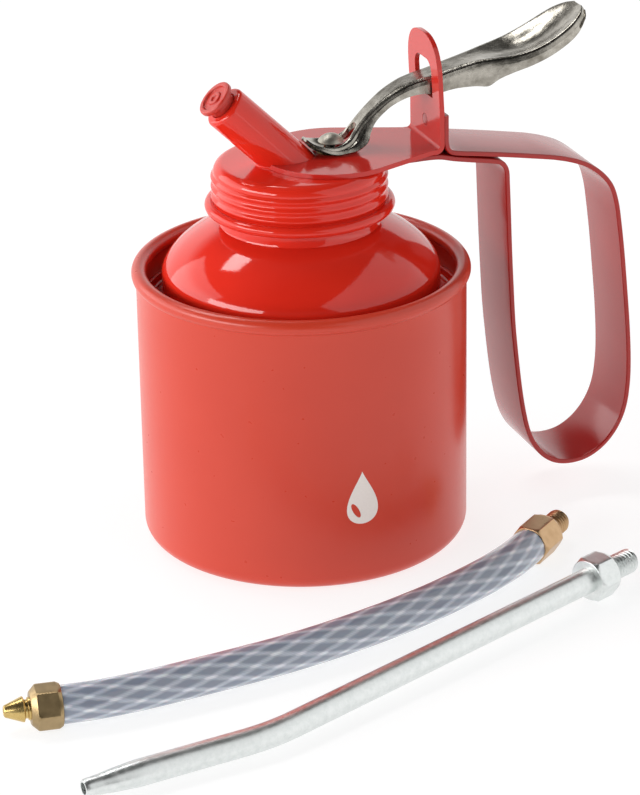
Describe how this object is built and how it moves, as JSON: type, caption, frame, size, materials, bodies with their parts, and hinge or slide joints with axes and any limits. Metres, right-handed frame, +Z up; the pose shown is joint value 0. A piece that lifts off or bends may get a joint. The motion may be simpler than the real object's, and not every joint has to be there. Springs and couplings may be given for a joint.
{
  "type": "force-feed oil can",
  "caption": "Thumb-lever pump oil can: a drawn can with a screwed pump head, strap handle and plugged spout socket, with a braided flexible spout and a bent rigid spout beside it.",
  "frame": {"origin": "centre of the can's flat base, on the surface it stands on", "axes": "+Z up along the can's axis, +X towards the handle, -X towards the spout socket, the loose spouts lie on the -Y side"},
  "size_m": [0.1831, 0.1548, 0.1253],
  "materials": {
    "orange_enamel": "glossy enamel over steel sheet",
    "red_enamel": "glossy enamel over steel strap",
    "red_plastic": "glossy",
    "nickel": "nickel plated",
    "zinc": "bright zinc plated",
    "bright_steel": "ground",
    "spring_steel": "drawn wire",
    "brass": "turned",
    "dull_brass": "turned, dull",
    "gauze": "woven gauze",
    "seal": "moulded",
    "gasket": "moulded",
    "white_ink": "screen print",
    "braided_hose": "clear PVC over a textile braid"
  },
  "bodies": {
    "can": {"can_body": "orange_enamel", "shoulder": "orange_enamel"},
    "pump_head": {"neck_gasket": "gasket", "screw_cap": "orange_enamel", "bracket": "red_enamel", "handle": "red_enamel", "handle_rivet": "red_enamel", "spout_socket": "orange_enamel", "rod_gland": "brass", "pump_barrel": "zinc", "barrel_foot": "brass", "suction_tube": "zinc", "suction_strainer": "gauze", "delivery_pipe": "zinc"},
    "plunger": {"pump_rod": "bright_steel", "rod_head": "nickel", "piston": "brass", "piston_seal": "seal", "return_spring": "spring_steel"},
    "lever_body": {"lever": "nickel"},
    "inlet_valve": {"inlet_ball": "bright_steel"},
    "delivery_valve": {"delivery_ball": "bright_steel"},
    "plug": {"socket_plug": "red_plastic"},
    "flexible_spout": {"hose": "braided_hose", "hose_connector": "dull_brass", "hose_ferrule": "dull_brass", "hose_nozzle": "brass"},
    "rigid_spout": {"rigid_tube": "zinc", "rigid_nut": "zinc", "rigid_thread": "zinc"}
  },
  "joints": [
    {"name": "head_lift", "type": "slide", "parent": "can", "child": "pump_head", "axis": [0, 0, 1], "range_m": [0, 0.09]},
    {"name": "lever_press", "type": "hinge", "parent": "pump_head", "child": "lever_body", "pos_m": [0.033, 0, 0.10835], "axis": [0, 1, 0], "range_deg": [0, 24], "stiffness_Nm_per_rad": 0.35, "springref_deg": -11.46},
    {"name": "plunger_lift", "type": "slide", "parent": "pump_head", "child": "plunger", "axis": [0, 0, 1], "range_m": [0, 0.0112], "deforming": ["return_spring"]},
    {"name": "inlet_lift", "type": "slide", "parent": "pump_head", "child": "inlet_valve", "axis": [0, 0, 1], "range_m": [0, 0.0015]},
    {"name": "delivery_lift", "type": "slide", "parent": "pump_head", "child": "delivery_valve", "axis": [-0.7071, 0, 0.7071], "range_m": [0, 0.002]},
    {"name": "plug_pull", "type": "slide", "parent": "pump_head", "child": "plug", "axis": [-0.7071, 0, 0.7071], "range_m": [0, 0.014]},
    {"name": "flexible_lift", "type": "slide", "parent": "can", "child": "flexible_spout", "axis": [0, 0, 1], "range_m": [0, 0.05]},
    {"name": "rigid_lift", "type": "slide", "parent": "can", "child": "rigid_spout", "axis": [0, 0, 1], "range_m": [0, 0.05]}
  ],
  "couplings": [
    {"joint": "plunger_lift", "follows": "lever_press", "m_per_rad": 0.0265}
  ]
}
